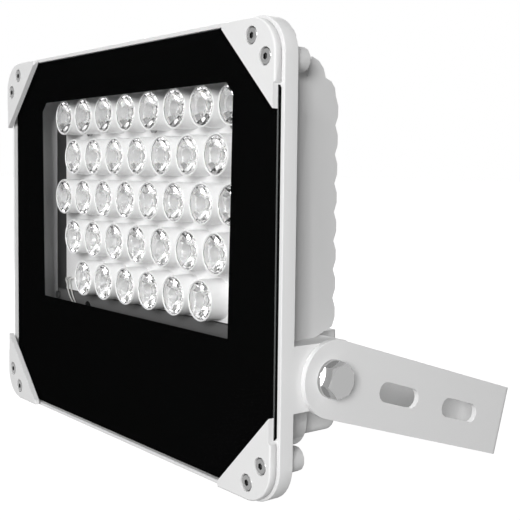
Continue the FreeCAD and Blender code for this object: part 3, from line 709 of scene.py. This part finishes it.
@dataclass
class Screws:
    """Socket-headed clamp screws and the small screws inside.

    The dome's pairs are the distance in from the head's edge and the depth.
    """

    place: LampPlace
    top_screw: tuple[float, float] = (135.2, 112.3)
    side_screw: tuple[float, float] = (146.2, 101.2)
    head_front: float = -3.3
    head_r: float = 4.25
    head_high: float = 2.6
    dome: Profile = ((1.5, 0.0), (0.9, 0.05), (0.35, 0.3), (0.0, 0.8))
    socket: float = 1.5
    socket_deep: float = 1.6
    socket_edge: tuple[float, float] = (0.15, 0.12)
    socket_within: float = 5.2
    shank_r: float = 2.5
    shank_long: float = 17.0
    sides: int = 24

    def socket_screw(self) -> bpy.types.Object:
        """Make one screw: a domed head with a hexagon socket, and its shank."""
        six, high, end = self.socket, self.head_high, self.head_high + self.shank_long
        wider, edge = self.socket_edge
        socket = [Ring(0.0, self.socket_deep + six), Ring(six, self.socket_deep, True),
                  Ring(six, edge, True), Ring(six + wider, 0.0, True)]
        dome = [(self.head_r - within, depth) for within, depth in self.dome]
        outside = rings(*dome, (self.head_r, high), (self.shank_r, high), (self.shank_r, end), (0.0, end))
        return turned("clamp_screw_shape", socket + outside, self.sides)

    def paint_socket_shade(self, made: bpy.types.Object, centres: Sequence[Vector]) -> None:
        """Give the sockets' walls and floors a dark finish, as painted shade in the hollows.

        Args:
            made: The screws as one object with one finish.
            centres: The middle of each head's front.
        """
        made.data.materials.append(Look.PAINTED_SOCKET_SHADE.value.material())
        for face in made.data.polygons:
            across, deep = min((math.hypot(face.center.x - c.x, face.center.z - c.z), face.center.y - c.y)
                               for c in centres)
            # Painted shade: faces inside a socket take the dark finish
            if across < self.socket * MM and deep < self.socket_within * MM:
                face.material_index = 1

    def build(self) -> None:
        """Place the eight clamp screws and dress the inner ones."""
        centres = [self.place(sx * x, self.head_front, sz * z)
                   for sx in (-1, 1) for sz in (-1, 1) for x, z in (self.top_screw, self.side_screw)]
        made = Pattern("clamp_socket_screws", self.socket_screw(), centres, Look.SCREW_STEEL).build()
        self.paint_socket_shade(made, centres)
        finish_piece(made, None, HEAD, "clamp_screws")
        for node in ("board_screws", "cover_screws", "driver_screws"):
            dress_node(node, Look.STEEL)


@dataclass
class Casting:
    """The housing, the corner clamps and the bracket, with their edges softened."""

    place: LampPlace
    clamp_names: tuple[str, ...] = ("clamp_top_left", "clamp_top_right", "clamp_bottom_left",
                                    "clamp_bottom_right")
    soft_edge: float = 0.5
    plate_edge: float = 0.3
    round_past: float = 50.0

    # The crease along each side of the tub
    side_inset: float = 14.1
    crease_depth: float = 30.4
    crease_heights: tuple[float, ...] = (-84.0, -75.5, 74.0, 88.0)
    flare: float = 5.0

    # The rim and its front chamfer
    rim_depth: float = 11.2
    rim_front: float = 1.9
    rim_chamfer: float = 1.3
    rim_corner: float = 20.0
    rim_finer: float = 0.75

    # The fine gap between a clamp and the rim
    clamp_foot: float = 1.9
    clamp_corner: float = 19.0
    gap_high: float = 1.2
    gap_deep: float = 1.4

    # Which faces are inside the tub, as distances from the housing's and its neighbours' boxes
    past_rear: float = 0.2
    wall_side: float = 16.0
    wall_foot: float = 24.0
    wall_head: float = 19.0
    facing_share: float = 0.9

    # How far a vertex may stand from the plane, outline or corner that it is looked for on
    near_plane: float = 0.05
    near_line: float = 0.1
    near_corner: float = 0.4
    near_crease: float = 0.01

    def build(self) -> None:
        """Copy each painted piece with soft edges and dress it."""
        housing = bevelled_copy("housing", "housing_casting", self.soft_edge, sharp=self.round_past,
                                shape=self.shape_housing)
        finish_piece(housing, Look.WHITE_PAINT, HEAD, "housing")
        self.paint_tub(housing)
        for name in self.clamp_names:
            clamp = bevelled_copy(name, name + "_soft", self.soft_edge, sharp=self.round_past,
                                  shape=self.undercut)
            finish_piece(clamp, Look.CLAMP_PAINT, HEAD, name)
        bracket = bevelled_copy("mounting_bracket", "bracket_plate", self.plate_edge)
        finish_piece(bracket, Look.WHITE_PAINT, BRACKET, "mounting_bracket")

    def plane_y(self, depth: float) -> float:
        """Return the frame's Y at a depth behind the glass's front."""
        return self.place(0.0, depth, 0.0).y

    def level(self, opened: bmesh.types.BMesh, plane: float) -> list[bmesh.types.BMVert]:
        """Return the vertices in the plane at one Y."""
        return [v for v in opened.verts if abs(v.co.y - plane) < self.near_plane * MM]

    def undercut(self, opened: bmesh.types.BMesh) -> None:
        """Draw a clamp's outer foot inwards, which leaves a fine gap above the rim."""
        cut_across(opened, (0.0, self.plane_y(self.clamp_foot - self.gap_high), 0.0), (0.0, 1.0, 0.0))
        feet = self.level(opened, self.plane_y(self.clamp_foot))
        self.push_outline(feet, self.clamp_corner, -self.gap_deep)

    def push_outline(self, verts: Sequence[bmesh.types.BMVert], corner: float, out: float,
                     along: float = 0.0) -> None:
        """Move the vertices on a rounded outline outwards and along the lamp's axis.

        Args:
            verts: Vertices in one plane, on the outline and within it.
            corner: The outline's corner radius in millimetres.
            out: How many millimetres those on the outline move outwards.
            along: How many millimetres they move to the rear.
        """
        corner, out, along, near = corner * MM, out * MM, along * MM, self.near_line * MM
        middle = self.place(0.0, 0.0, 0.0).z
        edge_x = max(abs(v.co.x) for v in verts)
        edge_z = max(abs(v.co.z - middle) for v in verts)
        for vert in verts:
            x, z = abs(vert.co.x), abs(vert.co.z - middle)
            over_x, over_z = x - (edge_x - corner), z - (edge_z - corner)
            reach = math.hypot(over_x, over_z)
            if over_x > 0 and over_z > 0 and abs(reach - corner) < self.near_corner * MM:
                way = (over_x / reach, over_z / reach)
            elif min(edge_x - x, edge_z - z) < near:
                way = (1.0, 0.0) if edge_x - x < near else (0.0, 1.0)
            else:
                continue
            vert.co.x = math.copysign(x + out * way[0], vert.co.x)
            vert.co.z = middle + math.copysign(z + out * way[1], vert.co.z - middle)
            vert.co.y += along

    def shape_housing(self, opened: bmesh.types.BMesh) -> None:
        """Make the rim's front chamfer finer and crease the tub's sides."""
        face = self.level(opened, self.plane_y(self.rim_front))
        self.push_outline(face, self.rim_corner - self.rim_chamfer, self.rim_finer)
        side = self.level(opened, self.plane_y(self.rim_front + self.rim_chamfer))
        self.push_outline(side, self.rim_corner, 0.0, -self.rim_finer)
        self.crease_sides(opened)

    def crease_sides(self, opened: bmesh.types.BMesh) -> None:
        """Widen the tub's sides towards the rim from a crease on, fading out at both ends.

        Args:
            opened: The housing's open mesh.
        """
        side_x = max(abs(v.co.x) for v in opened.verts) - self.side_inset * MM
        crease_y, rim_y = self.plane_y(self.crease_depth), self.plane_y(self.rim_depth)
        heights = [self.place(0.0, 0.0, z).z for z in self.crease_heights]
        near_plane, near_line = self.near_plane * MM, self.near_line * MM
        cut_across(opened, (0.0, crease_y, 0.0), (0.0, 1.0, 0.0))
        for z in heights:
            cut_across(opened, (0.0, 0.0, z), (0.0, 0.0, 1.0))
        for vert in opened.verts:
            before_crease = rim_y - MM < vert.co.y < crease_y - near_line
            if before_crease and abs(abs(vert.co.x) - side_x) < near_plane:
                low = (vert.co.z - heights[0]) / (heights[1] - heights[0])
                high = (heights[3] - vert.co.z) / (heights[3] - heights[2])
                share = (crease_y - vert.co.y) / (crease_y - rim_y) * min(max(min(low, high), 0.0), 1.0)
                vert.co.x += math.copysign(self.flare * share * MM, vert.co.x)
        for edge in opened.edges:
            on_side = all(abs(abs(v.co.x) - side_x) < near_plane for v in edge.verts)
            on_crease = all(abs(v.co.y - crease_y) < self.near_crease * MM for v in edge.verts)
            within = all(heights[1] - near_line < v.co.z < heights[2] + near_line for v in edge.verts)
            edge.smooth = not (on_side and on_crease and within)

    def paint_tub(self, housing: bpy.types.Object) -> None:
        """Give the tub's inner walls their finish, and its floor and its outside darker finishes that are
        painted shade.

        Args:
            housing: The housing with its first finish, which the rim and the ears keep.
        """
        # Slot 1 is the inner wall; slots 2 and 3, the floor and the outside, are painted shade
        wall, bottom, outside = 1, 2, 3
        for look in (Look.INNER_WALL, Look.FLOOR_PAINTED_SHADE, Look.SHADED_TUB_COAT):
            housing.data.materials.append(look.value.material())
        low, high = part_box("housing")
        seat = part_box("sealing_gasket")[1].y + self.past_rear * MM
        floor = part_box("led_board")[1].y + self.past_rear * MM
        rim_rear = self.plane_y(self.rim_depth + self.near_line)
        wall_x = high.x - self.wall_side * MM
        wall_low, wall_high = low.z + self.wall_foot * MM, high.z - self.wall_head * MM
        for face in housing.data.polygons:
            c = face.center
            within = all(abs(housing.data.vertices[i].co.x) < wall_x for i in face.vertices)
            # Painted shade: faces here that face the glass are the floor and take the near-black finish
            if seat < c.y < floor and within and wall_low < c.z < wall_high:
                face.material_index = bottom if abs(face.normal.y) > self.facing_share else wall
            # Painted shade: the tub's outside behind the rim takes the darker grey
            elif c.y > rim_rear and abs(c.x) < high.x - MM:
                face.material_index = outside


@dataclass
class PivotHardware:
    """The hexagon bolts and washers of the pivots."""

    face_r: float = 8.0
    face_edge: tuple[float, float] = (0.25, 0.12)
    half_flats: float = 8.3
    head_high: float = 6.4
    chamfer: float = math.tan(math.radians(30))
    shank_r: float = 5.0
    shank_long: float = 20.0
    shank_chamfer: float = 0.8
    washer_r: float = 10.0
    washer_hole_r: float = 5.25
    washer_edge: float = 0.3
    sides: int = 96
    sharp: float = 25.0
    tilt: float = 17.3

    def bolt(self) -> bpy.types.Object:
        """Make one bolt: a chamfered hexagon head and its shank."""
        within, low = self.face_edge
        edge = low + (self.half_flats - self.face_r) * self.chamfer
        end = self.head_high + self.shank_long
        head = rings((0.0, 0.0), (self.face_r - within, 0.0), (self.face_r, low))
        head.append(Ring(self.half_flats, edge, True, self.chamfer))
        head.append(Ring(self.half_flats, self.head_high, True))
        shank = rings((self.shank_r, self.head_high), (self.shank_r, end - self.shank_chamfer),
                      (self.shank_r - self.shank_chamfer, end), (0.0, end))
        return turned("bolt_shape", head + shank, self.sides, start=math.radians(self.tilt))

    def washer(self, thick: float) -> bpy.types.Object:
        """Make one washer with broken edges.

        Args:
            thick: Its thickness in millimetres.

        Returns:
            The new object.
        """
        r, hole, edge = self.washer_r, self.washer_hole_r, self.washer_edge
        section = rings((hole, thick), (hole, edge), (hole + edge, 0.0),
                        (r - edge, 0.0), (r, edge), (r, thick))
        return turned("washer_shape", section, self.sides, True)

    def build(self) -> None:
        """Put a bolt and a washer on each side."""
        low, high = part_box("pivot_bolts")
        washer_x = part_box("flat_washers")[1].x
        middle = (low + high) / 2
        thick = (washer_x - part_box("mounting_bracket")[1].x) / MM
        turns = (math.pi / 2, -math.pi / 2)
        for shape, reach, node in ((self.bolt(), high.x, "pivot_bolts"),
                                   (self.washer(thick), washer_x, "flat_washers")):
            spots = [Vector((side * reach, middle.y, middle.z)) for side in (1, -1)]
            made = Pattern(node + "_bright", shape, spots, Look.STEEL, turns).build(self.sharp)
            finish_piece(made, None, HEAD, node)


@dataclass
class Fittings:
    """Glass, print, seal, cover, driver, terminal block and gland."""

    nut_edge: float = 0.4
    plain: dict[str, tuple[Look, str]] = field(default_factory=lambda: {
        "glass_pane": (Look.GLASS, "glass"),
        "print_border": (Look.BLACK_PRINT, "black_print"),
        "sealing_gasket": (Look.RUBBER, "black_rubber"),
        "cover_sheet": (Look.SHEET, "dark_sheet"),
        "driver": (Look.DRIVER, "driver_case"),
        "terminal_block": (Look.TERMINAL, "terminal_plastic"),
        "gland_body": (Look.NYLON, "gland_plastic"),
        "gland_seal": (Look.RUBBER, "black_rubber"),
        "gland_locknut": (Look.NYLON, "gland_plastic")})

    def build(self) -> None:
        """Dress the plain pieces and soften the gland's cap nut."""
        for node, (look, slot) in self.plain.items():
            dress_node(node, look)
        nut = bevelled_copy("gland_nut", "gland_cap_nut", self.nut_edge)
        finish_piece(nut, Look.NYLON, HEAD, "gland_nut")


@dataclass
class Leads:
    """The board's two thin leads and the two between the driver and the terminal block."""

    place: LampPlace
    board_lead_r: float = 0.5
    supply_lead_r: float = 1.1
    sides: int = 12
    steps: int = 6
    sharp: float = 50.0
    board_leads: tuple[tuple[Point, ...], ...] = (
        ((-112.6, 26.9, -31.6), (-113.6, 24.4, -31.8), (-115.9, 24.2, -33.6), (-115.9, 25.2, -37.0),
         (-115.0, 25.6, -41.8), (-112.4, 25.8, -46.2), (-108.2, 25.8, -49.8), (-101.0, 25.4, -54.0),
         (-94.0, 25.0, -54.6), (-91.0, 25.6, -52.6), (-91.0, 29.0, -52.0), (-91.0, 37.0, -52.0)),
        ((-108.4, 26.9, -32.6), (-109.0, 24.4, -32.8), (-111.0, 24.2, -34.6), (-110.9, 25.2, -37.4),
         (-110.2, 25.6, -40.6), (-108.2, 25.8, -45.0), (-105.2, 25.8, -48.7), (-98.0, 24.2, -51.8),
         (-90.0, 23.6, -52.6), (-86.5, 25.0, -52.2), (-86.5, 29.0, -52.0), (-86.5, 37.0, -52.0)))
    supply_leads: tuple[tuple[Point, ...], ...] = (
        ((40.0, 48.4, -74.0), (47.0, 48.4, -74.0)), ((40.0, 48.4, -62.0), (47.0, 48.4, -62.0)))

    def smoothed(self, points: Sequence[Vector]) -> list[Vector]:
        """Return points on a Catmull-Rom curve through the given ones."""
        ends = [points[0] * 2 - points[1], *points, points[-1] * 2 - points[-2]]
        found = []
        for a, b, c, d in zip(ends, ends[1:], ends[2:], ends[3:]):
            for step in range(self.steps):
                t = step / self.steps
                found.append(b + (c - a) * (t / 2) + (a * 2 - b * 5 + c * 4 - d) * (t * t / 2)
                             + (b * 3 - a - c * 3 + d) * (t ** 3 / 2))
        return found + [points[-1]]

    def tube(self, opened: bmesh.types.BMesh, points: Sequence[Vector], radius: float) -> None:
        """Add a closed tube along a line of points.

        Args:
            opened: The mesh to add to.
            points: The middle line in the frame.
            radius: The tube's radius in millimetres.
        """
        ways = [(b - a).normalized() for a, b in zip(points, points[1:])]
        ways.append(ways[-1])
        across = ways[0].orthogonal().normalized()
        angles = [2 * math.pi * i / self.sides for i in range(self.sides)]
        loops = []
        for point, way in zip(points, ways):
            across = (across - way * across.dot(way)).normalized()
            other = way.cross(across)
            spokes = [across * math.cos(t) + other * math.sin(t) for t in angles]
            loops.append([opened.verts.new(point + spoke * (radius * MM)) for spoke in spokes])
        for a, b in zip(loops, loops[1:]):
            for i in range(self.sides):
                j = (i + 1) % self.sides
                opened.faces.new((a[i], a[j], b[j], b[i]))
        opened.faces.new(loops[0][::-1])
        opened.faces.new(loops[-1])

    def build(self) -> None:
        """Lay the four leads as one piece."""
        mesh = bpy.data.meshes.new("lamp_leads")
        opened = bmesh.new()
        for leads, radius in ((self.board_leads, self.board_lead_r),
                              (self.supply_leads, self.supply_lead_r)):
            for lead in leads:
                self.tube(opened, self.smoothed([self.place(*point) for point in lead]), radius)
        opened.to_mesh(mesh)
        opened.free()
        tidy_mesh(mesh)
        made = new_object("lamp_leads", mesh)
        smooth_by_angle(made, self.sharp)
        finish_piece(made, Look.LEAD, HEAD, "inner_leads")


def direction(azimuth: float, elevation: float) -> Vector:
    """Return the way to an azimuth from the front towards the right and an elevation, in degrees."""
    az, el = math.radians(azimuth), math.radians(elevation)
    return Vector((math.sin(az) * math.cos(el), -math.cos(az) * math.cos(el), math.sin(el)))


@dataclass(frozen=True)
class SoftLamp:
    """A square area lamp of the studio.

    Args:
        name: The lamp's name.
        azimuth: Its direction in degrees, from the front towards the right.
        elevation: Its height in degrees.
        size: Its side in metres.
        power: Its power in watts.
        distance: Its distance from the point that it lights, in metres.
    """

    name: str
    azimuth: float
    elevation: float
    size: float
    power: float
    distance: float = 2.4

    def build(self, lit: Vector) -> None:
        """Place the lamp so that it faces a point."""
        data = bpy.data.lights.new(self.name, "AREA")
        data.size = self.size
        data.energy = self.power
        made = bpy.data.objects.new(self.name, data)
        way = direction(self.azimuth, self.elevation)
        made.location = lit + way * self.distance
        made.rotation_mode = "QUATERNION"
        made.rotation_quaternion = (-way).to_track_quat("-Z", "Y")
        bpy.context.scene.collection.objects.link(made)


@dataclass
class Studio:
    """Camera, lamps, floor and background."""

    place: LampPlace
    image_px: float = 520.0
    focal_px: float = 935.15
    centre_px: tuple[float, float] = (266.47, 237.40)
    azimuth: float = 50.90
    elevation: float = 3.81
    roll: float = 0.71
    distance: float = 461.07
    target: Point = (145.03, 0.0, 13.06)
    sensor_mm: float = 36.0
    nearest: float = 0.01

    lit_point: Point = (40.0, 20.0, 0.0)
    lamps: tuple[SoftLamp, ...] = (SoftLamp("key_lamp", 42.0, 14.0, 0.8, 50.5),
                                   SoftLamp("front_lamp", 12.0, 30.0, 1.3, 5.0),
                                   SoftLamp("rear_lamp", 243.0, 30.0, 1.3, 42.0))
    sky: float = 0.20

    floor_z: float = -0.16
    floor_half: float = 60.0
    floor_colour: Colour = grey(0.3)
    floor_shown: float = 0.79
    floor_shown_far: float = 0.98
    floor_near: float = 0.4
    floor_far: float = 2.5

    def camera(self) -> None:
        """Place the camera where the photograph's was."""
        back = direction(self.azimuth, self.elevation)
        right = Vector((0, 0, 1)).cross(back).normalized()
        up = back.cross(right)
        roll = math.radians(self.roll)
        side = right * math.cos(roll) + up * math.sin(roll)
        above = up * math.cos(roll) - right * math.sin(roll)
        data = bpy.data.cameras.new("photo_camera")
        data.sensor_width = self.sensor_mm
        data.lens = self.focal_px * self.sensor_mm / self.image_px
        data.shift_x = (self.image_px / 2 - self.centre_px[0]) / self.image_px
        data.shift_y = (self.centre_px[1] - self.image_px / 2) / self.image_px
        data.clip_start = self.nearest
        camera = bpy.data.objects.new("photo_camera", data)
        bpy.context.scene.collection.objects.link(camera)
        spot = self.place(*self.target) + back * self.distance * MM
        turn = Matrix((side, above, back)).transposed().to_4x4()
        camera.matrix_world = Matrix.Translation(spot) @ turn
        bpy.context.scene.camera = camera

    def seen(self, tree: Tree) -> Value:
        """Return 1 for rays from the camera, off gloss or through glass, and 0 for the rest."""
        path = tree.add("LightPath")
        names = ("Is Camera Ray", "Is Glossy Ray", "Is Transmission Ray")
        camera, gloss, through = (tree.value(path, name) for name in names)
        return camera.larger(gloss.larger(through))

    def world(self) -> None:
        """Light the object plainly and show white to the camera and in gloss."""
        world = bpy.data.worlds.new("studio")
        bpy.context.scene.world = world
        tree = emptied(world)
        plain = tree.add("Background", {}, {"Color": grey(1.0), "Strength": self.sky})
        shown = tree.add("Background", {}, {"Color": grey(1.0), "Strength": 1.0})
        mix = tree.add("MixShader", {}, {0: self.seen(tree), 1: plain.outputs[0], 2: shown.outputs[0]})
        tree.add("OutputWorld", {}, {"Surface": mix.outputs[0]})

    def floor(self) -> None:
        """Lay a plain pale floor that keeps a faint shadow."""
        mesh = bpy.data.meshes.new("floor")
        corners = [(x * self.floor_half, y * self.floor_half, self.floor_z)
                   for x, y in ((-1, -1), (1, -1), (1, 1), (-1, 1))]
        mesh.from_pydata(corners, [], [(0, 1, 2, 3)])
        made = new_object("floor", mesh)
        material = bpy.data.materials.new("pale_floor")
        tree = emptied(material)
        lit = tree.add("BsdfDiffuse", {}, {"Color": self.floor_colour})
        place = tree.add("TexCoord").outputs["Object"]
        away = tree.value(tree.add("VectorMath", {"operation": "LENGTH"}, {0: place}), "Value")
        fade = tree.add("MapRange", {}, {"Value": away, "From Min": self.floor_near,
                                         "From Max": self.floor_far, "To Min": self.floor_shown,
                                         "To Max": self.floor_shown_far})
        share = tree.value(fade, "Result")
        shown = tree.add("Emission", {}, {"Color": grey(1.0), "Strength": self.seen(tree) * share})
        both = tree.add("AddShader", {}, {0: lit.outputs[0], 1: shown.outputs[0]})
        tree.add("OutputMaterial", {}, {"Surface": both.outputs[0]})
        mesh.materials.append(material)

    def build(self) -> None:
        """Set up the whole studio."""
        bpy.context.scene.view_settings.view_transform = "Standard"
        self.world()
        self.floor()
        for lamp in self.lamps:
            lamp.build(self.place(*self.lit_point))
        self.camera()


def main() -> None:
    """Build the lamp and its studio, logging each part."""
    logging.basicConfig(level=logging.INFO, format="%(name)s: %(message)s")
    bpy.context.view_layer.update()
    place = LampPlace.from_frame()
    for part in (Casting(place), LensArray(place), Screws(place), PivotHardware(), Fittings(),
                 Leads(place), Studio(place)):
        LOG.info("building %s", type(part).__name__)
        part.build()


if __name__ == "__main__":
    main()
